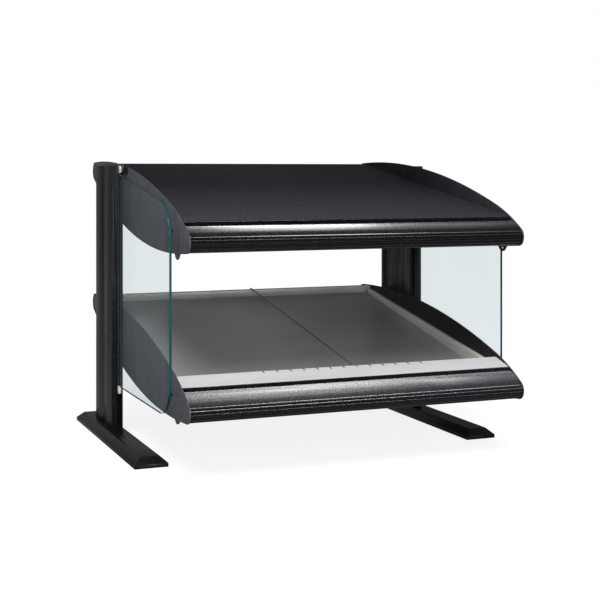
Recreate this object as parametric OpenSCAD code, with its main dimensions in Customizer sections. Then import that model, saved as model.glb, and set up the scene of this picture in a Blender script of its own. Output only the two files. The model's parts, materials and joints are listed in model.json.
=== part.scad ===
// Self-serve heated display case: one slanted warming shelf under a heated canopy,
// carried between two slotted posts on bevelled feet, with a glass panel on each side.
// Front faces -Y, width runs along X, +Z is up. The origin lies on the counter,
// under the middle of the case's bounding box. Units are millimetres.

/* [Overall] */
// Width over the outer faces of the two posts
case_w = 914; // [760:2:1200]
// Depth over the end caps, nose to tail
cap_len = 964; // [940:2:990]
// Height from the lower shelf to the canopy, cap to cap
level_gap = 378; // [340:2:420]

/* [End caps] */
// Thickness of an end cap plate
cap_t = 3; // [2:0.5:5]
// Radius of the rounded nose
nose_r = 23; // [21:0.5:24]
// Height of the nose centre on the canopy
nose_z = 545; // [543:0.5:547]
// Radius of the rounded tail
tail_r = 25; // [23:0.5:28]
// Height of the tail centre on the canopy
tail_z = 706.5; // [701:0.5:708]
// Radius of the long upper edge
crown_r = 2300; // [2200:20:2400]
// Distance from the front of a cap to where its upper edge starts to turn down
shoulder_run = 137; // [130:1:150]
// Height of the canopy cap's upper edge at that place
shoulder_z = 623.7; // [623:0.1:626]
// Radius of the long lower edge
belly_r = 1890; // [1840:10:2000]

/* [Feet] */
// Length of a foot, front to back
foot_len = 652; // [560:2:720]
// Width of a foot at the counter
foot_w = 83; // [76:1:100]
// Height of a foot over its rubber pads
foot_h = 26; // [22:1:32]
// Height of the upright edge below the bevel
foot_edge = 10; // [6:1:14]
// Distance that the bevel comes in on each side
foot_bevel = 18; // [12:1:20]
// Distance of the middle of the feet behind the middle of the case
foot_y = 88.5; // [70:0.5:110]
// Distance that a foot stands out past its post
foot_out = 31; // [24:1:34]

/* [Posts] */
// Thickness of a post, side to side
post_w = 30; // [28:1:34]
// Depth of a post, front to back
post_d = 206; // [180:2:220]
// Distance of a post's front face behind the middle of the case
post_y = 122.5; // [110:0.5:140]
// Height of the top of a post
post_top = 721; // [700:1:724]
// Width of the glass slot in a post
slot_w = 13; // [11:0.5:14]
// Depth of the glass slot
slot_d = 24; // [20:1:30]

/* [Glass] */
// Thickness of a glass panel
glass_t = 6; // [5:0.5:8]
// Distance of the glass centre plane outside the end cap
glass_out = 8.5; // [8:0.5:11]
// Distance of the glass's front edge ahead of the middle of the case
glass_front = 359.5; // [330:0.5:380]
// Height of the glass's bottom edge
glass_bottom = 138; // [120:1:160]
// Radius of the glass's front corners
glass_r = 84; // [60:1:95]

/* [Shelf and roof] */
// Height of the roof's rear edge
roof_rear_z = 728.5; // [725:0.5:730]
// Thickness of the roof and the case panels
panel_t = 1.5; // [1:0.5:3]
// Spacing of the divider notches
notch_pitch = 34.6; // [24:0.2:40]
// Number of divider notches
notch_n = 13; // [5:2:21]
// Diameter of a divider rod
rod_d = 4; // [4:0.5:5.5]

/* [Controls] */
// Diameter of a heat control knob
knob_d = 34; // [26:1:38]
// Spacing of the controls on the rear panel
control_pitch = 62; // [56:1:80]
// Lean of a rocker to either side
rocker_lean = 7; // [4:0.5:8]

/* [Hidden] */
$fn = 64;

// Side to side
post_out = case_w / 2;
post_in = post_out - post_w;
cap_in = post_in - cap_t;
glass_x = post_in + glass_out;
foot_x = post_out + foot_out - foot_w / 2;

// Feet and pads
pad_lift = 1;
pad_r = 11;
pad_t = 4;
pad_in = 60;
bolt_r = 4;
bolt_head_r = 7;
bolt_head_t = 8;
bolt_clear = 0.4;
bolt_reach = 34;
bolt_y = [post_y + 58, post_y + 158];

// Post section
lobe_rise = 5;
lobe_gap = 1.6;
lobe_n = 16;
lip_d = 10;
post_round = 4;
groove_w = 1.6;
groove_in = 12;
post_wall = 3;
port_r = 7;
port_wall = 7.5;

// Levels: the canopy's own height is 0, the shelf hangs one level lower
canopy = 0;
shelf = -level_gap;

// Roof line, and the shelf's deck line one level below its cap's crown
roof_front_y = -cap_len / 2 + 64.5;
roof_rear_y = cap_len / 2 - 52;
deck_front_y = -cap_len / 2 + 131.5;
deck_front_z = 182;
deck_rear_y = cap_len / 2 - 79.5;
deck_rear_z = 333;
deck_slope = (deck_rear_z - deck_front_z) / (deck_rear_y - deck_front_y);
deck_angle = atan(deck_slope);
lip_top_z = 352.5;
strip_t = 1.5;
notch_w = rod_d + 1;
notch_d = 12;
notch_drop = 9;
trim_w = 14;
trim_t = 1.5;
trim_top = [[deck_front_y + 0.3, 215.5], [deck_front_y + 55, 225.5], [deck_rear_y - 12, 343]];

// Rear panels stand inside the tails of the end caps
rear_y = roof_rear_y;
under_rear_y = rear_y - panel_t;
under_front_y = -cap_len / 2 + 70;
under_gap = 6;

// Heater, set in the canopy's underside where it is nearly level
heater_y = -20;
heater_half = 372;
trough_w = 92;
trough_h = 44;
rod_r = 4;
rod_gap = 52;
rod_rise = 24;
guard_pitch = 38;
light_y = -250;
light_half = 350;

// Controls, all at one height on the control panel
control_z = 326;
power_x = -2.5 * control_pitch;
light_x = -1.5 * control_pitch;
canopy_knob_x = -0.25 * control_pitch;
deck_knob_x = 0.95 * control_pitch;
gland_x = 4.6 * control_pitch;
shaft_r = 3;
running = 0.05;
press = 0.01;
rocker_half = 12;
rocker_r = 11;
pivot_r = 1.5;
pivot_y = rear_y - 3;

// ---- Curves ----

// Points of an arc about c, from angle a0 to a1 in n steps
function arc(c, r, a0, a1, n) =
    [for (i = [0:n]) let (a = a0 + (a1 - a0) * i / n) [c[0] + r * cos(a), c[1] + r * sin(a)]];

// Point at distance ra from a and rb from b, on the left (+1) or right (-1) of the way a to b
function meet(a, ra, b, rb, side) =
    let (d = b - a, l = norm(d), u = d / l, s = (ra * ra - rb * rb + l * l) / (2 * l),
         h = sqrt(ra * ra - s * s))
    a + s * u + side * h * [-u[1], u[0]];

function bearing(from, to) = atan2(to[1] - from[1], to[0] - from[0]);

// End cap outline: a long upper arc that turns down over a tighter shoulder arc, a round nose,
// a long lower arc and a round tail, each of which runs smoothly into the next
nose = [-cap_len / 2 + nose_r, nose_z];
tail = [cap_len / 2 - tail_r, tail_z];
brow = [-cap_len / 2 + shoulder_run, shoulder_z];
crown = meet(brow, crown_r, tail, crown_r - tail_r, -1);
inward = (crown - brow) / crown_r;
nose_to_brow = brow - nose;
shoulder_r = (nose_to_brow * nose_to_brow - nose_r * nose_r) / -2 / (nose_to_brow * inward + nose_r);
shoulder = brow + shoulder_r * inward;
belly = meet(nose, belly_r - nose_r, tail, belly_r - tail_r, 1);
brow_top = bearing(crown, brow);
nose_top = bearing(shoulder, nose);
nose_low = bearing(belly, nose) + 360;
tail_top = bearing(crown, tail);
tail_low = bearing(belly, tail) + 360;
function cap_outline(inset = 0) = concat(
    arc(crown, crown_r - inset, tail_top, brow_top, 30),
    arc(shoulder, shoulder_r - inset, brow_top, nose_top, 14),
    arc(nose, nose_r - inset, nose_top, nose_low, 20),
    arc(belly, belly_r - inset, nose_low, tail_low, 36),
    arc(tail, tail_r - inset, tail_low, tail_top + 360, 20));

// Heights of the cap's upper and lower edges, and of the roof and the deck, at a given depth
function arc_z(c, r, y) = c[1] + sqrt(pow(r, 2) - pow(y - c[0], 2));
function crown_z(y, inset = 0) = y < brow[0]
    ? arc_z(shoulder, shoulder_r - inset, y) : arc_z(crown, crown_r - inset, y);
function belly_z(y, inset = 0) = belly[1] - sqrt(pow(belly_r - inset, 2) - pow(y - belly[0], 2));
function belly_slope(y) = atan((y - belly[0]) / (belly[1] - belly_z(y)));

// The roof's front edge lies just inside the caps' crown
roof_front_z = crown_z(roof_front_y, 1);
roof_slope = (roof_rear_z - roof_front_z) / (roof_rear_y - roof_front_y);
function roof_z(y) = roof_front_z + (y - roof_front_y) * roof_slope;
function deck_z(y) = deck_front_z + (y - deck_front_y) * deck_slope;

// Front strip: it meets the shelf rail at the front and stands over the deck at its rear
strip_front_y = -cap_len / 2 + 71;
strip_front = [strip_front_y, crown_z(strip_front_y, 1) + shelf];
strip_rear = [deck_front_y, 233.8];

// Points of a rounded rise between two ends, steep at the ends, as on a rib
function swell(a, b, rise, n) =
    [for (i = [0:n]) let (t = i / n, w = 2 * t - 1) [a + (b - a) * t, rise * sqrt(1 - w * w)]];

// Points of an even rise between two ends, as on a post's lobe or a rail's bead
function crest(a, b, rise, n) =
    [for (i = [0:n]) let (t = i / n, w = 2 * t - 1) [a + (b - a) * t, rise * (1 - w * w)]];

// ---- Placing ----

// Stand a 2D side outline (depth, height) up and give it thickness along X
module side_plate(x, t) {
    translate([x, 0, 0]) rotate([90, 0, 90]) linear_extrude(t) children();
}

// Put a piece on both sides of the case, mirrored
module both_sides() {
    children();
    mirror([1, 0, 0]) children();
}

module pin_x(x, y, z, r, l) {
    translate([x, y, z]) rotate([0, 90, 0]) cylinder(r = r, h = l);
}

module pin_y(x, y, z, r, l) {
    translate([x, y, z]) rotate([-90, 0, 0]) cylinder(r = r, h = l);
}

// Box given by its lowest corner and its highest corner
module span(a, b) {
    translate(a) cube(b - a);
}

// ---- Feet and posts ----

module foot_right() {
    top = foot_h;
    front = foot_y - foot_len / 2;
    back = foot_y + foot_len / 2;
    inner = foot_x - foot_w / 2;
    outer = foot_x + foot_w / 2;
    difference() {
        intersection() {
            side_plate(inner, foot_w) polygon([[front, pad_lift], [back, pad_lift], [back, foot_edge],
                [back - foot_bevel, top], [front + foot_bevel, top], [front, foot_edge]]);
            translate([0, back, 0]) rotate([90, 0, 0]) linear_extrude(foot_len)
                polygon([[inner, pad_lift], [outer, pad_lift], [outer, foot_edge],
                    [outer - foot_bevel, top], [inner + foot_bevel, top], [inner, foot_edge]]);
        }
        pad_places() cylinder(r = pad_r + 0.2, h = pad_t);
        for (y = bolt_y) translate([post_out - post_w / 2, y, 0]) {
            cylinder(r = bolt_r + bolt_clear, h = 2 * foot_h);
            cylinder(r = bolt_head_r + bolt_clear, h = pad_lift + bolt_head_t + 1);
        }
    }
}

module pad_places() {
    for (y = [-1, 0, 1]) translate([foot_x, foot_y + y * (foot_len / 2 - pad_in), 0]) children();
}

module left_foot() { color([0.1, 0.1, 0.11]) mirror([1, 0, 0]) foot_right(); }
module right_foot() { color([0.1, 0.1, 0.11]) foot_right(); }

module foot_pads() { pad_places() cylinder(r = pad_r, h = pad_t); }
module left_foot_pads() { color([0.05, 0.05, 0.05]) mirror([1, 0, 0]) foot_pads(); }
module right_foot_pads() { color([0.05, 0.05, 0.05]) foot_pads(); }

module foot_bolts() {
    color([0.6, 0.6, 0.62]) both_sides() for (y = bolt_y) translate([post_out - post_w / 2, y, pad_lift + 1])
        difference() {
            union() {
                cylinder(r = bolt_head_r, h = bolt_head_t);
                cylinder(r = bolt_r, h = bolt_head_t + bolt_reach);
            }
            cylinder(r = 3.4, h = 4, $fn = 6);
        }
}

// Outer face of a post, as (distance out, depth): a narrow lip, then two wide lobes
function post_face() =
    let (a = post_y + lip_d, b = post_y + post_d, m = (a + b) / 2, g = lobe_gap / 2)
    concat(arc([post_w - post_round, post_y + post_round], post_round, -90, 0, 6), [[post_w, a - g]],
        [for (p = crest(a + g, m - g, lobe_rise, lobe_n)) [post_w - lobe_rise + p[1], p[0]]],
        [for (p = crest(m + g, b, lobe_rise, lobe_n)) [post_w - lobe_rise + p[1], p[0]]]);

module post_section() {
    difference() {
        polygon(concat([[0, post_y]], post_face(), [[0, post_y + post_d]]));
        translate([glass_out - slot_w / 2, post_y - 1]) square([slot_w, slot_d + 1]);
        difference() {
            translate([post_wall, post_y + slot_d + 6])
                square([post_w - lobe_rise - 2 * post_wall, post_d - slot_d - 6 - 2 * post_wall]);
            for (y = bolt_y) translate([post_w / 2, y]) circle(r = port_r + port_wall);
        }
        translate([post_w - groove_in - groove_w, post_y - 1]) square([groove_w, groove_w + 1]);
        for (y = bolt_y) translate([post_w / 2, y]) circle(r = bolt_r + 0.03);
    }
}

module post_right() {
    difference() {
        translate([post_in, 0, foot_h]) linear_extrude(post_top - panel_t - foot_h) post_section();
        cap_screw_places() pin_x(-1, 0, 0, 2.5, 11);
    }
}
module left_post() { color([0.11, 0.11, 0.12]) mirror([1, 0, 0]) post_right(); }
module right_post() { color([0.11, 0.11, 0.12]) post_right(); }

module post_top_right() {
    translate([post_in, 0, post_top - panel_t]) linear_extrude(panel_t) difference() {
        polygon(concat([[0, post_y]], post_face(), [[0, post_y + post_d]]));
        translate([glass_out - slot_w / 2, post_y - 1]) square([slot_w, slot_d + 1]);
    }
}
module left_post_top() { color([0.11, 0.11, 0.12]) mirror([1, 0, 0]) post_top_right(); }
module right_post_top() { color([0.11, 0.11, 0.12]) post_top_right(); }

// ---- End caps ----

screw_y = [post_y + 48, post_y + 108, post_y + 168];
module cap_screw_places() {
    for (y = screw_y, level = [canopy, shelf])
        translate([post_in, y, level + (crown_z(y) + belly_z(y)) / 2]) children();
}

// Lug under the nose, with an eye in the canopy's
lug_y = -cap_len / 2 + 99.5;
module lug(drop, eye) {
    difference() {
        side_plate(cap_in, cap_t) translate([lug_y, belly_z(lug_y)])
            polygon(concat([[-26, 6]],
                [for (a = [-60:15:60]) [13 * sin(a), 7 - drop - 7 * cos(a)]], [[26, 6]]));
        if (eye) pin_x(cap_in - 1, lug_y, belly_z(lug_y) - 4, 3.6, cap_t + 2);
    }
}

module cap_right(level, drop, eye) {
    translate([0, 0, level]) {
        side_plate(cap_in, cap_t) polygon(cap_outline());
        lug(drop, eye);
    }
}

module drilled_cap(level, drop, eye) {
    difference() {
        cap_right(level, drop, eye);
        cap_screw_places() pin_x(-cap_t - 1, 0, 0, 3.2, cap_t + 2);
    }
}
module canopy_left_cap() { color([0.26, 0.26, 0.28]) mirror([1, 0, 0]) drilled_cap(canopy, 13, true); }
module canopy_right_cap() { color([0.12, 0.12, 0.13]) drilled_cap(canopy, 13, true); }
module shelf_left_cap() { color([0.26, 0.26, 0.28]) mirror([1, 0, 0]) drilled_cap(shelf, 9, false); }
module shelf_right_cap() { color([0.12, 0.12, 0.13]) drilled_cap(shelf, 9, false); }

module cap_screws() {
    color([0.6, 0.6, 0.62]) both_sides() cap_screw_places() {
        pin_x(-cap_t - 3, 0, 0, 5.5, 3);
        pin_x(-cap_t - 1, 0, 0, 2.5, cap_t + 9);
    }
}

// ---- Rails and skins of one level ----

// Fluted nose rail: an upright step, one wide bead and small ribs down to a plain foot
rail_inset = 1.5;
rib_n = 5;
rib_step = 24.5;
rib_gap = 1.5;
rib_rise = 2.2;
step_h = 9.5;
step_t = 3;
bead_in = 5.5;
bead_rise = 9;
bead_gap = 1.5;
bead_end = nose_top + 8;
rail_wall = 3;
function on_nose(a, r) = nose + r * [cos(a), sin(a)];
function rib(a, b, rise, n) =
    [for (p = swell(a, b, rise, n)) on_nose(p[0], nose_r - rail_inset - rise + p[1])];
function bulge(p, q, rise, n) = let (l = norm(q - p), u = (q - p) / l)
    [for (s = crest(0, l, rise, n)) p + s[0] * u + s[1] * [u[1], -u[0]]];
function rail_top(y) = crown_z(y, rail_inset + 1);
function rail_outside(y) = concat(
    [[y, rail_top(y)], [y - step_t, rail_top(y)], [y - step_t, rail_top(y) - step_h]],
    bulge([y - step_t - bead_gap, rail_top(y) - step_h],
        on_nose(bead_end, nose_r - rail_inset - bead_in), bead_rise, 16),
    [for (i = [0:rib_n - 1]) let (a = bead_end + i * rib_step)
        each rib(a + rib_gap, a + rib_step, rib_rise, 8)],
    [for (y = [nose[0] + 8, under_front_y + 16]) [y, belly_z(y, rail_inset)]]);
function rail_inside(y) = concat(
    [for (y = [under_front_y + 16, nose[0] + 8]) [y, belly_z(y, rail_inset + rail_wall)]],
    arc(nose, nose_r - rail_inset - bead_in - rail_wall, nose_low, nose_top, 12),
    [[y, rail_top(y) - step_h - rail_wall]]);
module front_rail(level, y) {
    translate([0, 0, level]) side_plate(-cap_in, 2 * cap_in)
        polygon(concat(rail_outside(y), rail_inside(y)));
}
module canopy_front_rail() { color([0.16, 0.16, 0.18]) front_rail(canopy, roof_front_y - 0.4); }
module shelf_front_rail() { color([0.16, 0.16, 0.18]) front_rail(shelf, strip_front[0] - 0.4); }

module roof_panel() {
    color([0.2, 0.2, 0.22]) side_plate(-cap_in, 2 * cap_in) polygon([
        [roof_front_y, roof_front_z], [roof_front_y, roof_front_z - panel_t],
        [roof_rear_y, roof_rear_z - panel_t], [roof_rear_y, roof_rear_z]]);
}

// Underside skin that follows the caps' lower edge, open where cutters say
under_n = 24;
function under_line(inset) = [for (i = [0:under_n])
    let (y = under_front_y + 17 + (under_rear_y - under_front_y - 17) * i / under_n) [y, belly_z(y, inset)]];
function backwards(list) = [for (i = [len(list) - 1:-1:0]) list[i]];
module under_skin(level) {
    translate([0, 0, level]) side_plate(-cap_in, 2 * cap_in)
        polygon(concat(under_line(under_gap - panel_t), backwards(under_line(under_gap))));
}

// Frame of a spot on the canopy's underside: X across, Y up its slope, Z into the canopy
module on_belly(y) {
    translate([0, y, belly_z(y, under_gap)]) rotate([belly_slope(y), 0, 0]) children();
}

module canopy_under_panel() {
    color([0.55, 0.55, 0.57]) difference() {
        under_skin(canopy);
        on_belly(heater_y) span([-heater_half, -trough_w / 2, -30], [heater_half, trough_w / 2, 30]);
        on_belly(light_y) span([-light_half, -22, -30], [light_half, 22, 30]);
    }
}

module canopy_rear_panel() {
    color([0.16, 0.16, 0.17]) span([-cap_in, rear_y - panel_t, belly_z(rear_y, under_gap - panel_t) + 1],
        [cap_in, rear_y, roof_rear_z - panel_t - 0.5]);
}

// ---- Canopy heater and light ----

module heat_reflector() {
    w = trough_w / 2 + 8;
    color([0.85, 0.85, 0.86]) on_belly(heater_y) difference() {
        translate([-heater_half - 6, 0, 2]) rotate([90, 0, 90]) linear_extrude(2 * heater_half + 12)
            polygon([[-w, 0], [-w + 30, trough_h], [w - 30, trough_h], [w, 0]]);
        translate([-heater_half - 4, 0, 1]) rotate([90, 0, 90]) linear_extrude(2 * heater_half + 8)
            polygon([[-w + 2, 0], [-w + 31, trough_h - 1], [w - 31, trough_h - 1], [w - 2, 0]]);
        for (x = [-1, 1], y = [-1, 1]) pin_x(x * heater_half - 12, y * rod_gap / 2, rod_rise, 7, 24);
    }
}

module heating_rods() {
    color([0.35, 0.33, 0.31]) on_belly(heater_y) for (y = [-1, 1])
        pin_x(-heater_half - 18, y * rod_gap / 2, rod_rise, rod_r, 2 * heater_half + 36);
}

module rod_insulators() {
    color([0.9, 0.88, 0.83]) on_belly(heater_y) for (x = [-1, 1], y = [-1, 1]) difference() {
        pin_x(x * (heater_half + 5) - 11, y * rod_gap / 2, rod_rise, 6.8, 22);
        pin_x(x * (heater_half + 5) - 12, y * rod_gap / 2, rod_rise, rod_r + 0.05, 24);
    }
}

module heater_guard() {
    bars = floor((heater_half - 6) / guard_pitch);
    color([0.7, 0.7, 0.72]) on_belly(heater_y) {
        for (y = [-1, 1]) span([-heater_half + 1, y * (trough_w / 2 - 3) - 2, -2],
            [heater_half - 1, y * (trough_w / 2 - 3) + 2, 2]);
        for (i = [-bars:bars]) span([i * guard_pitch - 1, -trough_w / 2 + 2, -1],
            [i * guard_pitch + 1, trough_w / 2 - 2, 1]);
        for (y = [-1, 0, 1]) span([-heater_half + 2, y * 26 - 1, -0.9], [heater_half - 2, y * 26 + 1, 0.9]);
    }
}

module canopy_insulation() {
    color([0.85, 0.82, 0.6]) side_plate(-cap_in + 12, 2 * cap_in - 24) polygon([
        [-200, roof_z(-200) - panel_t - 1], [-200, roof_z(-200) - 26],
        [300, roof_z(300) - 26], [300, roof_z(300) - panel_t - 1]]);
}

module light_channel() {
    color([0.75, 0.75, 0.76]) on_belly(light_y) difference() {
        span([-light_half - 4, -24, 1], [light_half + 4, 24, 22]);
        span([-light_half, -22, 0], [light_half, 22, 20]);
    }
}

module light_strip() {
    color([0.95, 0.9, 0.7]) on_belly(light_y) {
        span([-light_half + 2, -8, 18.4], [light_half - 2, 8, 20]);
        for (i = [-11:11]) span([i * 30 - 2.5, -2.5, 16.9], [i * 30 + 2.5, 2.5, 18.6]);
    }
}

module light_lens() {
    color([0.9, 0.92, 0.95]) on_belly(light_y)
        span([-light_half + 0.5, -21.5, 0], [light_half - 0.5, 21.5, 2.5]);
}

// ---- Warming shelf ----

module shelf_deck() {
    color([0.44, 0.43, 0.42]) side_plate(-cap_in, 2 * cap_in) polygon([
        [deck_front_y, deck_front_z], [deck_front_y, deck_front_z - panel_t],
        [deck_rear_y, deck_rear_z - panel_t], [deck_rear_y, deck_rear_z]]);
}

module shelf_rear_lip() {
    color([0.55, 0.53, 0.52]) side_plate(-cap_in, 2 * cap_in) polygon([
        [deck_rear_y, deck_rear_z - panel_t], [deck_rear_y, lip_top_z], [rear_y, lip_top_z],
        [rear_y, lip_top_z - panel_t], [deck_rear_y + panel_t, lip_top_z - panel_t],
        [deck_rear_y + panel_t, deck_rear_z - panel_t]]);
}

// Folded trim along one side of the deck: a level band and a wall that deepens to the front
module side_trim_right() {
    low = [for (p = backwards(trim_top)) [p[0], deck_z(p[0]) + 0.1]];
    side_plate(cap_in - trim_w, trim_t) polygon(concat(trim_top, low));
    side_plate(cap_in - trim_w, trim_w)
        polygon(concat(trim_top, [for (p = backwards(trim_top)) [p[0], p[1] - trim_t]]));
}
module shelf_left_trim() { color([0.5, 0.49, 0.48]) mirror([1, 0, 0]) side_trim_right(); }
module shelf_right_trim() { color([0.5, 0.49, 0.48]) side_trim_right(); }

// Level strip along the front, folded down at its rear into the stop that holds the food
module notched_strip() {
    color([0.82, 0.81, 0.83]) difference() {
        union() {
            side_plate(-cap_in, 2 * cap_in) polygon([strip_front, strip_rear,
                strip_rear - [0, strip_t], strip_front - [0, strip_t]]);
            span([-cap_in, deck_front_y - strip_t, deck_front_z + 0.1],
                [cap_in, deck_front_y, strip_rear[1] - 0.5]);
        }
        for (i = [0:notch_n - 1]) translate([(i - (notch_n - 1) / 2) * notch_pitch, strip_rear[0], 0]) {
            translate([0, notch_w / 2 - notch_d, strip_rear[1] - notch_drop])
                cylinder(d = notch_w, h = 2 * notch_drop);
            span([-notch_w / 2, notch_w / 2 - notch_d, strip_rear[1] - notch_drop],
                [notch_w / 2, 1, strip_rear[1] + notch_drop]);
        }
    }
}

module shelf_under_panel() { color([0.16, 0.16, 0.17]) under_skin(shelf); }

module deck_heater() {
    color([0.65, 0.25, 0.12]) side_plate(-370, 740) polygon([
        [-280, deck_z(-280) - panel_t], [-280, deck_z(-280) - panel_t - 3],
        [230, deck_z(230) - panel_t - 3], [230, deck_z(230) - panel_t]]);
}

module deck_insulation() {
    color([0.85, 0.82, 0.6]) difference() {
        side_plate(-390, 780) polygon([
            [-300, deck_z(-300) - panel_t - 3.5], [-300, deck_z(-300) - 24],
            [200, deck_z(200) - 24], [200, deck_z(200) - panel_t - 3.5]]);
        span([-12, -26, 0], [12, 26, 400]);
    }
}

module deck_sensor() {
    color([0.7, 0.5, 0.3]) translate([0, 0, deck_z(0) - panel_t - 10]) rotate([deck_angle, 0, 0]) {
        pin_y(0, -20, 0, 3.2, 40);
        span([-8, -6, 0], [8, 6, 6]);
    }
}

module terminal_block() {
    z = belly_z(312, under_gap) + shelf + 1;
    color([0.9, 0.88, 0.8]) difference() {
        span([220, 285, z], [310, 312, z + 26]);
        for (i = [0:5]) translate([231 + i * 13.5, 298, z + 10]) cylinder(r = 3.5, h = 20);
    }
}

// ---- Controls at the rear ----

module control_panel() {
    color([0.16, 0.16, 0.17]) difference() {
        span([-cap_in, rear_y - panel_t, belly_z(rear_y, under_gap - panel_t) + shelf + 1],
            [cap_in, rear_y, lip_top_z - panel_t - 0.5]);
        for (x = [power_x, light_x]) span([x - 15.2, rear_y - 5, control_z - 12.7],
            [x + 15.2, rear_y + 5, control_z + 12.7]);
        for (x = [canopy_knob_x, deck_knob_x]) pin_y(x, rear_y - 5, control_z, 5.1, 10);
        for (x = lamp_x) pin_y(x, rear_y - 5, control_z, 4.1, 10);
        pin_y(gland_x, rear_y - 5, control_z, 8.1, 10);
        for (p = panel_screw_at) pin_y(p[0], rear_y - 5, p[1], 2.2, 10);
    }
}

lamp_x = [canopy_knob_x + 0.6 * control_pitch, deck_knob_x + 0.6 * control_pitch];
panel_screw_at = [for (x = [-1, 1], z = [-1, 1]) [x * (cap_in - 26), control_z + 16 * z]];
module panel_screws() {
    color([0.5, 0.5, 0.52]) for (p = panel_screw_at) difference() {
        union() {
            pin_y(p[0], rear_y - 9, p[1], 2, 10);
            pin_y(p[0], rear_y, p[1], 4.2, 2.2);
        }
        for (a = [0, 90]) translate([p[0], rear_y + 2.2, p[1]]) rotate([0, a, 0])
            cube([4.6, 2.4, 1], center = true);
    }
}

module cable_gland() {
    color([0.12, 0.12, 0.13]) difference() {
        union() {
            pin_y(gland_x, rear_y - 12, control_z, 8, 14);
            translate([gland_x, rear_y, control_z]) rotate([-90, 0, 0]) cylinder(r = 13, h = 6, $fn = 6);
            pin_y(gland_x, rear_y + 6, control_z, 10.5, 9);
        }
        pin_y(gland_x, rear_y - 13, control_z, 4.5, 40);
    }
}

module switch_housing(x) {
    difference() {
        union() {
            span([x - 15, rear_y - 24, control_z - 12.5], [x + 15, rear_y, control_z + 12.5]);
            span([x - 18, rear_y, control_z - 15], [x + 18, rear_y + 2, control_z + 15]);
        }
        span([x - rocker_half - 0.4, rear_y - 17, control_z - rocker_r - 0.4],
            [x + rocker_half + 0.4, rear_y + 3, control_z + rocker_r + 0.4]);
        pin_x(x - rocker_half - 2.4, pivot_y, control_z, pivot_r + running, 2 * rocker_half + 4.8);
    }
}
module power_switch_housing() { color([0.08, 0.08, 0.08]) switch_housing(power_x); }
module light_switch_housing() { color([0.08, 0.08, 0.08]) switch_housing(light_x); }

// Rocker drawn leaning to its off side; it turns through twice the lean
module rocker(x) {
    translate([x - rocker_half, pivot_y, control_z]) rotate([-rocker_lean, 0, 0]) {
        rotate([90, 0, 90]) linear_extrude(2 * rocker_half) polygon(concat(
            [[5.5, 0]], arc([0, 0], rocker_r, 46, 96, 6), [[-4, 6], [-4, -6]],
            arc([0, 0], rocker_r, -96, -46, 6)));
        pin_x(-2, 0, 0, pivot_r, 2 * rocker_half + 4);
    }
}
module power_rocker() { color([0.7, 0.08, 0.06]) rocker(power_x); }
module light_rocker() { color([0.06, 0.06, 0.07]) rocker(light_x); }

module rotary_control(x) {
    difference() {
        union() {
            span([x - 17, rear_y - 24, control_z - 14], [x + 17, rear_y - panel_t, control_z + 14]);
            pin_y(x, rear_y - 4, control_z, 5, 8);
        }
        pin_y(x, rear_y - 18, control_z, shaft_r + running, 40);
    }
}
module canopy_control() { color([0.75, 0.73, 0.68]) rotary_control(canopy_knob_x); }
module deck_control() { color([0.75, 0.73, 0.68]) rotary_control(deck_knob_x); }

module control_shaft(x) { pin_y(x, rear_y - 16, control_z, shaft_r, 32); }
module canopy_control_shaft() { color([0.7, 0.7, 0.72]) control_shaft(canopy_knob_x); }
module deck_control_shaft() { color([0.7, 0.7, 0.72]) control_shaft(deck_knob_x); }

// Skirted knob with a raised pointer bar
module knob(x) {
    translate([x, rear_y + 5, control_z]) rotate([-90, 0, 0]) difference() {
        union() {
            cylinder(r = knob_d / 2, h = 3);
            cylinder(r = knob_d / 2 - 4, h = 13);
            span([-3.5, -knob_d / 2 + 2, 0], [3.5, knob_d / 2 - 2, 17]);
        }
        translate([0, 0, -1]) cylinder(r = shaft_r + press, h = 13);
    }
}
module canopy_heat_knob() { color([0.06, 0.06, 0.06]) knob(canopy_knob_x); }
module deck_heat_knob() { color([0.06, 0.06, 0.06]) knob(deck_knob_x); }

module indicator_lamps() {
    color([0.9, 0.4, 0.1]) for (x = lamp_x) {
        pin_y(x, rear_y - 14, control_z, 4, 16);
        pin_y(x, rear_y, control_z, 5.5, 2);
    }
}

// ---- Glass ----

glass_rear = post_y + slot_d - 4;
clip_out = 1.5;
glass_top_front = 623;
glass_slope = 8.9;
glass_arc_n = 20;
function glass_top(y) = glass_top_front + (y + glass_front) * tan(glass_slope);
module glass_right() {
    cy = -glass_front + glass_r;
    side_plate(glass_x - glass_t / 2, glass_t) polygon(concat(
        [[glass_rear, glass_bottom], [glass_rear, glass_top(glass_rear)]],
        arc([cy, glass_top(cy) - glass_r / cos(glass_slope)], glass_r, 90 + glass_slope, 180, glass_arc_n),
        arc([cy, glass_bottom + glass_r], glass_r, 180, 270, glass_arc_n)));
}
module left_glass() { color([0.75, 0.9, 0.9, 0.35]) mirror([1, 0, 0]) glass_right(); }
module right_glass() { color([0.75, 0.9, 0.9, 0.35]) glass_right(); }

// Rubber strips that grip the glass on both faces inside the slot
module gaskets_right() {
    t = (slot_w - glass_t) / 2;
    for (x = [glass_x - slot_w / 2, glass_x + glass_t / 2])
        span([x, post_y + 8, glass_bottom + 2], [x + t, post_y + slot_d, glass_top(post_y) - 14]);
}
module left_glass_gaskets() { color([0.04, 0.04, 0.04]) mirror([1, 0, 0]) gaskets_right(); }
module right_glass_gaskets() { color([0.04, 0.04, 0.04]) gaskets_right(); }

// Bright clamp plates at the top of the slots
module glass_clamps() {
    color([0.8, 0.8, 0.83]) both_sides() span([post_in + 4.3, post_y - clip_out, post_top - 19.5],
        [post_in + 9.2, post_y + 14, post_top - 1]);
}

// Bright blocks that the glass stands on
module glass_stops() {
    color([0.8, 0.8, 0.83]) both_sides() span([post_in + 5, post_y - clip_out, glass_bottom - 19],
        [post_in + 12.5, post_y + slot_d - 1, glass_bottom]);
}

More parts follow.
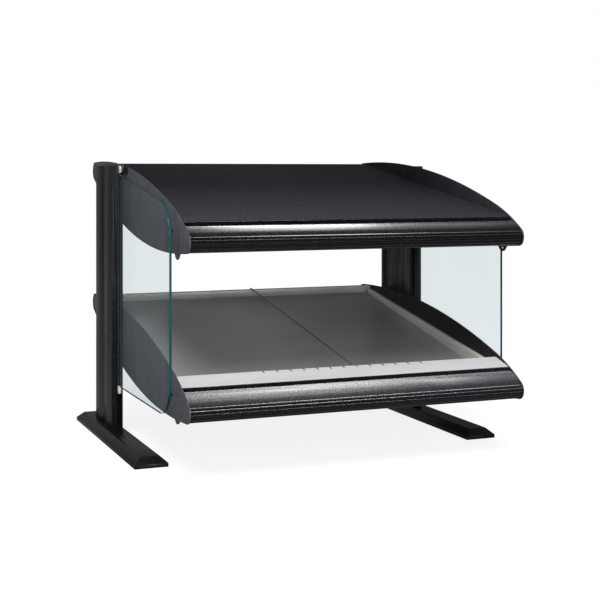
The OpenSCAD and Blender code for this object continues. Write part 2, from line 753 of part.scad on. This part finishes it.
// Small black bumpers that keep the glass off the end caps near its front edge
bumper_z = 570;
module glass_bumpers() {
    gap = glass_x - glass_t / 2 - post_in;
    y = -glass_front + 14;
    color([0.05, 0.05, 0.05]) both_sides() for (level = [canopy, shelf])
        pin_x(post_in, y, level + bumper_z, 4, gap);
}

// Black blocks between glass and cap, just ahead of each post's top
module glass_brackets() {
    color([0.04, 0.04, 0.04]) both_sides() span([post_in, post_y - 55, post_top - 21],
        [glass_x - glass_t / 2 - 0.05, post_y - clip_out - 0.2, post_top - 1]);
}

// ---- Divider ----

rod_x = notch_pitch;
rod_lift = 0.3;
module divider_rod() {
    front = [deck_front_y - 3.5, strip_rear[1] - notch_drop + rod_d / 2 + rod_lift];
    back = [deck_rear_y + 9, lip_top_z + rod_d / 2 + rod_lift + 2];
    run = norm(back - front);
    color([0.72, 0.72, 0.74]) translate([rod_x, front[0], front[1]])
        rotate([bearing(front, back), 0, 0]) {
            rotate([-90, 0, 0]) cylinder(d = rod_d, h = run);
        }
}

left_foot();
right_foot();
left_foot_pads();
right_foot_pads();
foot_bolts();
left_post();
right_post();
left_post_top();
right_post_top();
canopy_left_cap();
canopy_right_cap();
shelf_left_cap();
shelf_right_cap();
cap_screws();
roof_panel();
canopy_front_rail();
canopy_rear_panel();
canopy_under_panel();
heat_reflector();
heating_rods();
rod_insulators();
heater_guard();
canopy_insulation();
light_channel();
light_strip();
light_lens();
shelf_deck();
shelf_rear_lip();
shelf_left_trim();
shelf_right_trim();
notched_strip();
shelf_front_rail();
shelf_under_panel();
deck_heater();
deck_insulation();
deck_sensor();
terminal_block();
control_panel();
panel_screws();
cable_gland();
power_switch_housing();
power_rocker();
light_switch_housing();
light_rocker();
canopy_control();
canopy_control_shaft();
canopy_heat_knob();
deck_control();
deck_control_shaft();
deck_heat_knob();
indicator_lamps();
left_glass();
right_glass();
left_glass_gaskets();
right_glass_gaskets();
glass_clamps();
glass_stops();
glass_bumpers();
glass_brackets();
divider_rod();
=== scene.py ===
"""Heated display case: materials, edges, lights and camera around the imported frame."""
import json
from math import radians

import bmesh
import bpy
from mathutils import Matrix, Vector

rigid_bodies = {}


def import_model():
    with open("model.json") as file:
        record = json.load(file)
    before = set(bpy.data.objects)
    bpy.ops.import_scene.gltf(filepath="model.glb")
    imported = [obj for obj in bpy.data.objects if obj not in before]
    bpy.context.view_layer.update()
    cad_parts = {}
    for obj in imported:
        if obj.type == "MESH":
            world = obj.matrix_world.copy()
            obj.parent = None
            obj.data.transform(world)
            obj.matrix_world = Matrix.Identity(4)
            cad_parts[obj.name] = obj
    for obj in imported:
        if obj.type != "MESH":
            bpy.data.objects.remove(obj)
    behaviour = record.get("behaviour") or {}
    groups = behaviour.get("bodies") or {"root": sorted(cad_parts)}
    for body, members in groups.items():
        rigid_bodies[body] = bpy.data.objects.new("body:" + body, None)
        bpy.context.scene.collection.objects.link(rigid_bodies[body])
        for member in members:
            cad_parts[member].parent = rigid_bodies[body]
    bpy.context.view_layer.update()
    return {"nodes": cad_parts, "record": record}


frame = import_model()
nodes = frame["nodes"]

MM = 0.001
EVEN = (1, 1, 1)
WHITE = (1.0, 1.0, 1.0, 1.0)


# ---------------------------------------------------------------- node helpers
# Texture scales are in features per metre, and relief depths in metres.

WORN_EDGE = (0.53, 0.62)    # pointiness where wear starts and where it is complete
WORN_PATCH = (0.42, 0.62)   # noise values between which wear fades in along an edge


class Look:
    """A material with a Principled shader, and short ways to add the nodes it needs."""

    def __init__(self, name, base, rough, metal=0.0, spec=0.5):
        self.mat = bpy.data.materials.new(name)
        self.mat.use_nodes = True
        self.tree = self.mat.node_tree
        self.bsdf = self.tree.nodes["Principled BSDF"]
        self.normal = None
        self.set("Base Color", (*base, 1.0))
        self.set("Roughness", rough)
        self.set("Metallic", metal)
        self.set("Specular IOR Level", spec)

    def set(self, socket, value):
        self.bsdf.inputs[socket].default_value = value

    def node(self, kind, **values):
        made = self.tree.nodes.new(kind)
        for key, value in values.items():
            setattr(made, key, value)
        return made

    def link(self, source, target):
        self.tree.links.new(source, target)

    def place(self, scale=EVEN):
        """Object coordinates in metres, multiplied along each axis by scale."""
        coords = self.node("ShaderNodeTexCoord")
        mapping = self.node("ShaderNodeMapping")
        mapping.inputs["Scale"].default_value = scale
        self.link(coords.outputs["Object"], mapping.inputs["Vector"])
        return mapping.outputs["Vector"]

    def noise(self, scale, detail=2.0, rough=0.5, stretch=EVEN):
        """Noise texture, about 0.3 to 0.7; a small stretch number draws it out on that axis."""
        made = self.node("ShaderNodeTexNoise")
        made.inputs["Scale"].default_value = scale
        made.inputs["Detail"].default_value = detail
        made.inputs["Roughness"].default_value = rough
        self.link(self.place(stretch), made.inputs["Vector"])
        return made.outputs["Fac"]

    def depth(self, rear, front):
        """0 at the depth (Y) called rear and 1 at the one called front."""
        parts = self.node("ShaderNodeSeparateXYZ")
        self.link(self.place(), parts.inputs["Vector"])
        return self.spread(parts.outputs["Y"], 0.0, 1.0, rear, front)

    def spread(self, factor, low, high, start=0.3, end=0.7):
        """Turns a value that runs from start to end into one that runs from low to high."""
        made = self.node("ShaderNodeMapRange")
        made.inputs["From Min"].default_value = start
        made.inputs["From Max"].default_value = end
        made.inputs["To Min"].default_value = low
        made.inputs["To Max"].default_value = high
        self.link(factor, made.inputs["Value"])
        return made.outputs["Result"]

    def tones(self, factor, dark, light, start=0.3, end=0.7):
        """Turns a value that runs from start to end into a colour from dark to light."""
        made = self.node("ShaderNodeValToRGB")
        made.color_ramp.elements[0].position = start
        made.color_ramp.elements[1].position = end
        made.color_ramp.elements[0].color = (*dark, 1.0)
        made.color_ramp.elements[1].color = (*light, 1.0)
        self.link(factor, made.inputs["Fac"])
        return made.outputs["Color"]

    def blend(self, factor, first, second):
        """The first colour where factor is 0 and the second where it is 1."""
        made = self.node("ShaderNodeMix", data_type="RGBA")
        self.link(factor, made.inputs["Factor"])
        self.link(first, made.inputs["A"])
        self.link(second, made.inputs["B"])
        return made.outputs["Result"]

    def colour(self, output):
        self.link(output, self.bsdf.inputs["Base Color"])

    def roughness(self, output):
        self.link(output, self.bsdf.inputs["Roughness"])

    def bump(self, output, depth, strength=1.0):
        """Adds a layer of relief, depth metres deep, on top of those added before."""
        made = self.node("ShaderNodeBump")
        made.inputs["Strength"].default_value = strength
        made.inputs["Distance"].default_value = depth
        self.link(output, made.inputs["Height"])
        if self.normal is not None:
            self.link(self.normal, made.inputs["Normal"])
        self.normal = made.outputs["Normal"]
        self.link(self.normal, self.bsdf.inputs["Normal"])

    def edge_wear(self, under, worn):
        """Lets a worn colour show along outer edges, broken up by noise."""
        geometry = self.node("ShaderNodeNewGeometry")
        edge = self.spread(geometry.outputs["Pointiness"], 0.0, 1.0, *WORN_EDGE)
        patch = self.spread(self.noise(60, 3), 0.0, 1.0, *WORN_PATCH)
        both = self.node("ShaderNodeMath", operation="MULTIPLY")
        self.link(edge, both.inputs[0])
        self.link(patch, both.inputs[1])
        made = self.node("ShaderNodeMix", data_type="RGBA")
        made.inputs["B"].default_value = (*worn, 1.0)
        self.link(both.outputs[0], made.inputs["Factor"])
        self.link(under, made.inputs["A"])
        return made.outputs["Result"]


def times(colour, factor):
    """A colour made darker or lighter by a factor."""
    return tuple(c * factor for c in colour)


# ------------------------------------------------------------------- materials

SPECKLE = (0.33, 0.68)          # noise values of the darkest and lightest speckle in a coat
WEAR_LIGHTNESS = 2.6            # a worn edge's colour over the coat's own
PEEL = 0.06 * MM                # usual depth of a powder coat's orange peel
ROOF_STRETCH = (1, 0.35, 1)     # the roof's speckle is drawn out from front to rear
ROOF_DARKEST_Y = 0.1              # painted shade: the roof is painted darkest behind this depth,
ROOF_SHEEN_Y = -0.4             # and painted lightest, a painted sheen, in front of this one
CAST_CONTRAST = 0.12            # how far a moulded surface's colour varies
BRUSH_RELIEF = 0.03 * MM
LAMP_STRENGTH = 6.0


def orange_peel(look, rough, peel=PEEL, stretch=EVEN):
    """The uneven gloss and the two layers of relief that every powder coat has."""
    look.roughness(look.spread(look.noise(300, 3), rough - 0.08, rough + 0.1))
    look.bump(look.noise(900, 2, 0.55, stretch), peel, 0.5)
    look.bump(look.noise(300, 2, 0.5, stretch), 2 * peel, 0.35)


def powder_coat(name, base, rough, spec, grain=0.35, peel=PEEL):
    """Powder coat: speckle, a little dust in broad patches, orange peel and rubbed edges."""
    look = Look(name, base, rough, spec=spec)
    speckle = look.noise(430, 2, 0.6)
    dark, light = 1 - grain, 1 + 1.6 * grain
    clean = look.tones(speckle, times(base, dark), times(base, light), *SPECKLE)
    drift = look.spread(look.noise(9, 3), 0.0, 1.0)
    dusty = look.tones(speckle, times(base, dark + 0.1), times(base, light + 0.3), *SPECKLE)
    look.colour(look.edge_wear(look.blend(drift, clean, dusty), times(base, WEAR_LIGHTNESS)))
    orange_peel(look, rough, peel)
    return look.mat


def roof_coat(name, base, rough, spec):
    """Matt coat on the roof, painted darker towards its rear and lighter towards its front edge:
    painted shade and a painted sheen.
    """
    look = Look(name, base, rough, spec=spec)
    speckle = look.noise(330, 2, 0.6, ROOF_STRETCH)
    rear = look.tones(speckle, times(base, 0.15), times(base, 0.7))
    front = look.tones(speckle, times(base, 0.8), times(base, 2.2))
    # Painted shade at the rear and a painted sheen at the front, blended along the depth.
    look.colour(look.blend(look.depth(ROOF_DARKEST_Y, ROOF_SHEEN_Y), rear, front))
    orange_peel(look, rough, stretch=ROOF_STRETCH)
    return look.mat


def rail_coat(name, base, rough):
    """Glossier coat on the drawn rails, with fine orange peel."""
    look = Look(name, base, rough, spec=0.5)
    look.colour(look.tones(look.noise(420, 2, 0.6), times(base, 0.7), times(base, 1.7)))
    look.roughness(look.spread(look.noise(240, 3), rough - 0.04, rough + 0.07))
    look.bump(look.noise(500, 2, 0.6), 0.04 * MM, 0.4)
    return look.mat


def brushed_metal(name, base, rough, grain, contrast=0.12, metal=1.0):
    """Metal with brush lines along the axis whose grain number is smallest, if one is."""
    look = Look(name, base, rough, metal=metal)
    lines = look.noise(1, 5, 0.7, grain)
    haze = look.noise(14, 3, 0.6)
    bright = look.tones(lines, times(base, 1 - contrast), times(base, 1 + contrast / 2))
    dull = look.tones(lines, times(base, 0.94 - contrast), base)
    look.colour(look.blend(look.spread(haze, 0.0, 1.0), bright, dull))
    look.roughness(look.spread(lines, rough - 0.06, rough + 0.08))
    look.bump(lines, BRUSH_RELIEF, 0.5)
    look.set("Anisotropic", 0.4)
    return look.mat


def cast_surface(name, base, rough, relief=0.1 * MM, spec=0.4):
    """Moulded plastic, rubber or ceramic: fine orange peel and uneven gloss."""
    look = Look(name, base, rough, spec=spec)
    dark, light = times(base, 1 - CAST_CONTRAST), times(base, 1 + CAST_CONTRAST)
    look.colour(look.tones(look.noise(80, 3), dark, light))
    look.roughness(look.spread(look.noise(120, 3), rough - 0.07, rough + 0.09))
    look.bump(look.noise(720, 2), relief, 0.6)
    return look.mat


def fibre_board(name, base):
    """Dull fibrous insulation, its strands along X."""
    look = Look(name, base, 0.95, spec=0.1)
    strands = look.noise(1, 6, 0.75, (90, 420, 420))
    look.colour(look.tones(strands, times(base, 0.6), times(base, 1.15)))
    look.bump(strands, 1.0 * MM, 0.9)
    return look.mat


def heated_sheath(name):
    """Element tube, straw and blue where the heat has coloured it."""
    look = Look(name, (0.20, 0.17, 0.15), 0.38, metal=0.9)
    band = look.noise(7, 3, 0.5)
    warm = look.tones(band, (0.23, 0.17, 0.11), (0.13, 0.13, 0.17))
    sooty = look.tones(look.noise(160, 3), (0.12, 0.10, 0.09), (0.25, 0.21, 0.18))
    look.colour(look.blend(look.spread(look.noise(30, 2), 0.0, 1.0), warm, sooty))
    look.roughness(look.spread(look.noise(200, 3), 0.3, 0.5))
    look.bump(look.noise(1200, 2), 0.05 * MM, 0.5)
    return look.mat


def clear_sheet(name, tint, face_on, edge_on, rough):
    """Clear tinted panel; face_on and edge_on are the shares it reflects, seen those ways."""
    look = Look(name, (0.2, 0.2, 0.215), rough, spec=0.6)
    look.roughness(look.spread(look.noise(40, 3), rough, rough + 0.03))
    look.colour(look.tones(look.noise(3, 2), (0.17, 0.19, 0.19), (0.23, 0.25, 0.25)))
    through = look.node("ShaderNodeBsdfTransparent")
    look.link(look.tones(look.noise(2.5, 3), times(tint, 0.985), tint), through.inputs["Color"])
    weight = look.node("ShaderNodeLayerWeight")
    weight.inputs["Blend"].default_value = 0.3
    share = look.spread(weight.outputs["Fresnel"], face_on, edge_on, 0.0, 1.0)
    mixed = look.node("ShaderNodeMixShader")
    look.link(share, mixed.inputs["Fac"])
    look.link(through.outputs["BSDF"], mixed.inputs[1])
    look.link(look.bsdf.outputs["BSDF"], mixed.inputs[2])
    look.link(mixed.outputs["Shader"], look.tree.nodes["Material Output"].inputs["Surface"])
    return look.mat


def glass_edge(name):
    """Ground and polished glass edge, deep teal with faint streaks."""
    look = Look(name, (0.006, 0.09, 0.1), 0.25, spec=0.2)
    streak = look.noise(1, 3, 0.6, (500, 30, 30))
    look.colour(look.tones(streak, (0.002, 0.035, 0.04), (0.008, 0.08, 0.085)))
    look.roughness(look.spread(look.noise(300, 2), 0.2, 0.34))
    look.bump(look.noise(500, 2), 0.04 * MM, 0.5)
    return look.mat


def lamp_board(name):
    """The lit strip under the canopy, which glows warm white."""
    look = Look(name, (0.9, 0.86, 0.72), 0.4)
    look.colour(look.tones(look.noise(120, 2), (0.85, 0.80, 0.66), (0.95, 0.91, 0.78)))
    look.roughness(look.spread(look.noise(300, 2), 0.32, 0.5))
    look.bump(look.noise(600, 2), 0.05 * MM, 0.4)
    look.set("Emission Color", (1.0, 0.87, 0.68, 1.0))
    look.set("Emission Strength", LAMP_STRENGTH)
    return look.mat


BLACK = (0.0075, 0.0075, 0.009)
CHARCOAL = (0.024, 0.024, 0.029)
CAP_GREY = (0.050, 0.049, 0.058)
RAIL_BLACK = (0.008, 0.008, 0.010)
RUBBER_BLACK = (0.018, 0.018, 0.018)

SLOT_LOOKS = {
    "black_powder_coat": powder_coat("powder_black", BLACK, rough=0.35, spec=0.4),
    "black_post_coat": powder_coat(
        "post_black", times(BLACK, 0.7), rough=0.28, spec=0.18, peel=0.02 * MM),
    "grey_powder_coat": powder_coat("powder_grey", CAP_GREY, rough=0.5, spec=0.25, grain=0.6),
    "charcoal_powder_coat": roof_coat("powder_charcoal", CHARCOAL, rough=0.62, spec=0.07),
    "black_rail_coat": rail_coat("rail_black", RAIL_BLACK, rough=0.28),
    "rubber": cast_surface("black_rubber", RUBBER_BLACK, rough=0.72, relief=0.2 * MM, spec=0.25),
    "zinc_steel": brushed_metal(
        "zinc_steel", (0.55, 0.55, 0.57), rough=0.32, grain=(300, 300, 300)),
    "aluminised_steel": brushed_metal(
        "aluminised_sheet", (0.50, 0.50, 0.52), rough=0.42, grain=(30, 260, 260)),
    "bright_reflector": brushed_metal(
        "bright_reflector", (0.80, 0.80, 0.82), rough=0.16, grain=(4, 500, 500), contrast=0.06),
    "heating_sheath": heated_sheath("heating_sheath"),
    "white_ceramic": cast_surface("white_ceramic", (0.78, 0.75, 0.68), rough=0.55),
    "guard_wire": brushed_metal(
        "drawn_wire", (0.56, 0.56, 0.58), rough=0.26, grain=(200, 40, 200)),
    "mineral_wool": fibre_board("mineral_wool", (0.62, 0.56, 0.36)),
    "light_board": lamp_board("lamp_board"),
    "lens": clear_sheet(
        "clear_lens", tint=(0.90, 0.92, 0.93), face_on=0.1, edge_on=0.5, rough=0.12),
    "deck_stainless": brushed_metal(
        "deck_stainless", (0.43, 0.415, 0.4), rough=0.38, grain=(700, 9, 700),
        contrast=0.10, metal=0.5),
    "brushed_strip": brushed_metal(
        "brushed_strip", (0.76, 0.75, 0.77), rough=0.42, grain=(5, 900, 900),
        contrast=0.10, metal=0.3),
    "heater_foil": cast_surface("silicone_heater", (0.40, 0.10, 0.05), rough=0.6),
    "copper": brushed_metal(
        "copper_bulb", (0.60, 0.30, 0.18), rough=0.34, grain=(300, 20, 300)),
    "cream_plastic": cast_surface("cream_plastic", (0.62, 0.59, 0.50), rough=0.48),
    "black_plastic": cast_surface("black_plastic", (0.018, 0.018, 0.019), rough=0.33),
    "red_plastic": cast_surface("red_plastic", (0.42, 0.02, 0.015), rough=0.25),
    "amber_lamp": cast_surface("amber_lamp", (0.72, 0.22, 0.02), rough=0.16),
    "clear_glass": clear_sheet(
        "clear_glass", tint=(0.94, 0.975, 0.98), face_on=0.03, edge_on=0.16, rough=0.02),
}
GLASS_EDGE = glass_edge("glass_edge")
# Near-black coat for the shelf end caps' inner faces: painted shade, the caps being one grey coat
# all over.
CAP_SHADED_INSIDE = powder_coat("powder_cap_painted_shade", BLACK, rough=0.5, spec=0.2)
TRIM_STEEL = brushed_metal(
    "trim_stainless", (0.60, 0.59, 0.57), rough=0.4, grain=(9, 500, 700), contrast=0.08, metal=0.3)
DIVIDER_WIRE = brushed_metal(
    "divider_wire", (0.22, 0.22, 0.22), rough=0.35, grain=(200, 40, 200), metal=0.8)

# Nodes that look different from the rest of their slot.
OWN_LOOKS = {
    "shelf_rear_lip": TRIM_STEEL, "shelf_left_trim": TRIM_STEEL, "shelf_right_trim": TRIM_STEEL,
    "divider_rod": DIVIDER_WIRE,
}
# A darker coat on the side of each end cap that faces the middle of the case: painted shade on
# caps that are one grey coat all over.
CAP_SHADED_SIDES = {
    "canopy_left_cap": SLOT_LOOKS["charcoal_powder_coat"], "shelf_left_cap": CAP_SHADED_INSIDE,
    "canopy_right_cap": SLOT_LOOKS["charcoal_powder_coat"], "shelf_right_cap": CAP_SHADED_INSIDE,
}


# --------------------------------------------------------- finish on CAD nodes

USUAL_EDGE = 0.5 * MM
EDGE_WIDTHS = {
    "roof_panel": 0.6 * MM, "left_post": 0.8 * MM, "right_post": 0.8 * MM,
    "canopy_left_cap": 0.9 * MM, "canopy_right_cap": 0.9 * MM,
    "shelf_left_cap": 0.9 * MM, "shelf_right_cap": 0.9 * MM,
    "canopy_heat_knob": 0.9 * MM, "deck_heat_knob": 0.9 * MM,
    "power_rocker": 0.7 * MM, "light_rocker": 0.7 * MM,
    "heater_guard": 0.2 * MM, "light_strip": 0.2 * MM, "shelf_deck": 0.3 * MM,
    "canopy_front_rail": 0.25 * MM, "shelf_front_rail": 0.25 * MM,
}
CRISP = {"notched_strip"}
WELD_REACH = 0.002 * MM     # vertices closer than this become one
HARD_EDGE = 32              # degrees between two faces from which their edge is rounded
BEVEL_STEPS = 2
SIDEWAYS = 0.7              # a face whose normal has more than this along X faces left or right


def soften(piece, width):
    """Rounds a piece's hard edges inwards, so that they catch the light."""
    mesh = piece.data
    mesh.normals_split_custom_set([(0.0, 0.0, 0.0)] * len(mesh.loops))
    mesh.shade_smooth()
    weld = piece.modifiers.new("weld", "WELD")
    weld.merge_threshold = WELD_REACH
    bevel = piece.modifiers.new("edges", "BEVEL")
    bevel.width = width
    bevel.segments = BEVEL_STEPS
    bevel.limit_method = "ANGLE"
    bevel.angle_limit = radians(HARD_EDGE)
    bevel.harden_normals = True


def keep_crisp(piece):
    """Leaves a thin sheared sheet's edges square."""
    piece.data.shade_flat()


def paint(piece, look):
    """Gives a whole piece one material."""
    piece.data.materials.clear()
    piece.data.materials.append(look)
    for face in piece.data.polygons:
        face.material_index = 0


def paint_glass(piece, face_look, edge_look):
    """The two large faces of a panel are clear and its narrow edges are tinted."""
    paint(piece, face_look)
    piece.data.materials.append(edge_look)
    for face in piece.data.polygons:
        if abs(face.normal.x) < SIDEWAYS:
            face.material_index = 1


def paint_cap(piece, outer_look, shaded_look):
    """An end cap's face towards the middle of the case gets a darker coat: painted shade."""
    paint(piece, outer_look)
    piece.data.materials.append(shaded_look)
    for face in piece.data.polygons:
        if face.normal.x * face.center.x < 0 and abs(face.normal.x) > SIDEWAYS:
            face.material_index = 1


def finish_nodes():
    """Gives every CAD node the material of its slot, and its edges."""
    slots = {part["node"]: part["material_slot"] for part in frame["record"]["subparts"]}
    for name, piece in nodes.items():
        if slots[name] == "clear_glass":
            paint_glass(piece, SLOT_LOOKS["clear_glass"], GLASS_EDGE)
            piece.visible_shadow = False
        elif name in CAP_SHADED_SIDES:
            paint_cap(piece, SLOT_LOOKS[slots[name]], CAP_SHADED_SIDES[name])
        else:
            paint(piece, OWN_LOOKS.get(name, SLOT_LOOKS[slots[name]]))
        if name in CRISP:
            keep_crisp(piece)
        else:
            soften(piece, EDGE_WIDTHS.get(name, USUAL_EDGE))


# -------------------------------------------------------------- stage and light

FLOOR_REACH = 20.0      # metres from the floor's middle to its sides
FLOOR_SQUARES = 8
FLOOR_GLOW = 0.86

# Tones of the room that the case reflects: place from straight down (0) to straight up (1).
ROOM_FLOOR = (0.35, (0.30, 0.30, 0.31, 1.0))
ROOM_HORIZON = (0.52, (0.05, 0.05, 0.055, 1.0))
ROOM_CEILING = (1.0, (0.22, 0.22, 0.24, 1.0))

CASE_MIDDLE = (0.0, 0.0, 0.35)

# Cards high above and behind the case: a left and a right one for each front rail.
CARD_SIZE = (1.9, 4.6)
CARD_X = {"left": 1.0, "right": 2.9}
CARD_PLACE = (1.55, 4.06)       # depth and height of a card's middle
CARD_TARGET = (-0.45, 0.6)      # depth and height of the point it faces
CARD_POWERS = {
    "canopy_front_rail": {"left": 360, "right": 20},
    "shelf_front_rail": {"left": 1900, "right": 100},
}

CAMERA_PLACE = (-1.2456, -3.1752, 0.7051)
CAMERA_HEADING = -21.858        # degrees to the right of straight ahead, so negative
CAMERA_LENS = 76.43             # mm
CAMERA_SENSOR = 36.0            # mm
CAMERA_SHIFT = -0.214           # of the frame's width


def studio_floor():
    """Large pale floor that the case stands on, mostly self-lit so that shadows stay faint."""
    mesh = bpy.data.meshes.new("studio_floor")
    build = bmesh.new()
    bmesh.ops.create_grid(
        build, x_segments=FLOOR_SQUARES, y_segments=FLOOR_SQUARES, size=FLOOR_REACH)
    build.to_mesh(mesh)
    build.free()
    floor = bpy.data.objects.new("studio_floor", mesh)
    bpy.context.scene.collection.objects.link(floor)
    look = Look("studio_floor", (0.2, 0.2, 0.2), 0.9, spec=0.0)
    look.colour(look.tones(look.noise(2, 2), (0.195, 0.195, 0.195), (0.205, 0.205, 0.205)))
    look.set("Emission Color", WHITE)
    look.set("Emission Strength", FLOOR_GLOW)
    paint(floor, look.mat)
    floor.visible_glossy = False
    floor.visible_diffuse = False


def studio_world():
    """White backdrop, with a dim room around the case for it to reflect."""
    world = bpy.data.worlds.new("studio")
    bpy.context.scene.world = world
    world.use_nodes = True
    tree = world.node_tree
    coords = tree.nodes.new("ShaderNodeTexCoord")
    split = tree.nodes.new("ShaderNodeSeparateXYZ")
    height = tree.nodes.new("ShaderNodeMapRange")
    height.inputs["From Min"].default_value = -1.0
    ramp = tree.nodes.new("ShaderNodeValToRGB")
    room = ramp.color_ramp
    room.elements[0].position, room.elements[0].color = ROOM_FLOOR
    room.elements[1].position, room.elements[1].color = ROOM_CEILING
    horizon_place, horizon_tone = ROOM_HORIZON
    room.elements.new(horizon_place).color = horizon_tone
    dim = tree.nodes["Background"]
    backdrop = tree.nodes.new("ShaderNodeBackground")
    backdrop.inputs["Color"].default_value = WHITE
    ray = tree.nodes.new("ShaderNodeLightPath")
    mixed = tree.nodes.new("ShaderNodeMixShader")
    tree.links.new(coords.outputs["Generated"], split.inputs["Vector"])
    tree.links.new(split.outputs["Z"], height.inputs["Value"])
    tree.links.new(height.outputs["Result"], ramp.inputs["Fac"])
    tree.links.new(ramp.outputs["Color"], dim.inputs["Color"])
    tree.links.new(ray.outputs["Is Camera Ray"], mixed.inputs["Fac"])
    tree.links.new(dim.outputs["Background"], mixed.inputs[1])
    tree.links.new(backdrop.outputs["Background"], mixed.inputs[2])
    tree.links.new(mixed.outputs["Shader"], tree.nodes["World Output"].inputs["Surface"])


def set_up_lamp(lamp, place, target, only=None, blockers=None):
    """Aims a lamp; only and blockers are the collections that it lights and is shaded by."""
    lamp.location = place
    aim = Vector(target) - Vector(place)
    lamp.rotation_euler = aim.to_track_quat("-Z", "Y").to_euler()
    lamp.visible_camera = False
    if only is not None:
        lamp.light_linking.receiver_collection = only
    if blockers is not None:
        lamp.light_linking.blocker_collection = blockers
    bpy.context.scene.collection.objects.link(lamp)


def softbox(name, place, target, size, power, only=None, blockers=None):
    """Rectangular light; size is its width and height in metres and power is in watts."""
    light = bpy.data.lights.new(name, "AREA")
    light.shape = "RECTANGLE"
    light.size, light.size_y = size
    light.energy = power
    set_up_lamp(bpy.data.objects.new(name, light), place, target, only, blockers)


def sun(name, place, strength, spread, only):
    """Broad even light, spread degrees wide, from the direction of place."""
    light = bpy.data.lights.new(name, "SUN")
    light.energy = strength
    light.angle = radians(spread)
    set_up_lamp(bpy.data.objects.new(name, light), place, (0, 0, 0), only)


def rail_cards(rail, powers, ground):
    """Two overhead cards that light one front rail and nothing else, brighter on the left."""
    lit = bpy.data.collections.new(rail)
    lit.objects.link(nodes[rail])
    for side, x in CARD_X.items():
        place, target = (x, *CARD_PLACE), (x, *CARD_TARGET)
        softbox(f"{rail}_card_{side}", place, target, CARD_SIZE, powers[side], lit, ground)


def studio_lights():
    """Soft studio light; the front rails get cards in place of the key and front lights."""
    ground = bpy.data.collections.new("ground")
    ground.objects.link(bpy.data.objects["studio_floor"])
    others = bpy.data.collections.new("others")
    for piece in bpy.context.scene.objects:
        if piece.type == "MESH" and piece.name not in CARD_POWERS:
            others.objects.link(piece)
    sun("key", place=(-0.35, -0.85, 1.1), strength=3.0, spread=26, only=others)
    softbox("front_softbox", place=(-0.4, -3.4, 1.2), target=CASE_MIDDLE,
            size=(2.6, 1.1), power=55, only=others)
    softbox("left_softbox", place=(-3.2, -1.2, 0.6), target=CASE_MIDDLE,
            size=(1.0, 1.2), power=30)
    softbox("backdrop", place=(-0.15, 3.5, 1.3), target=(-0.15, 0.0, 1.3),
            size=(3.2, 3.0), power=3.2)
    for rail, powers in CARD_POWERS.items():
        rail_cards(rail, powers, ground)


def photo_camera():
    """Level camera to the left of the front, with the view shifted down onto the case."""
    data = bpy.data.cameras.new("camera")
    data.sensor_width = CAMERA_SENSOR
    data.lens = CAMERA_LENS
    data.shift_y = CAMERA_SHIFT
    camera = bpy.data.objects.new("camera", data)
    camera.location = CAMERA_PLACE
    camera.rotation_euler = (radians(90), 0.0, radians(CAMERA_HEADING))
    bpy.context.scene.collection.objects.link(camera)
    bpy.context.scene.camera = camera


bpy.context.scene.view_settings.view_transform = "Standard"
photo_camera()
finish_nodes()
studio_world()
studio_floor()
studio_lights()
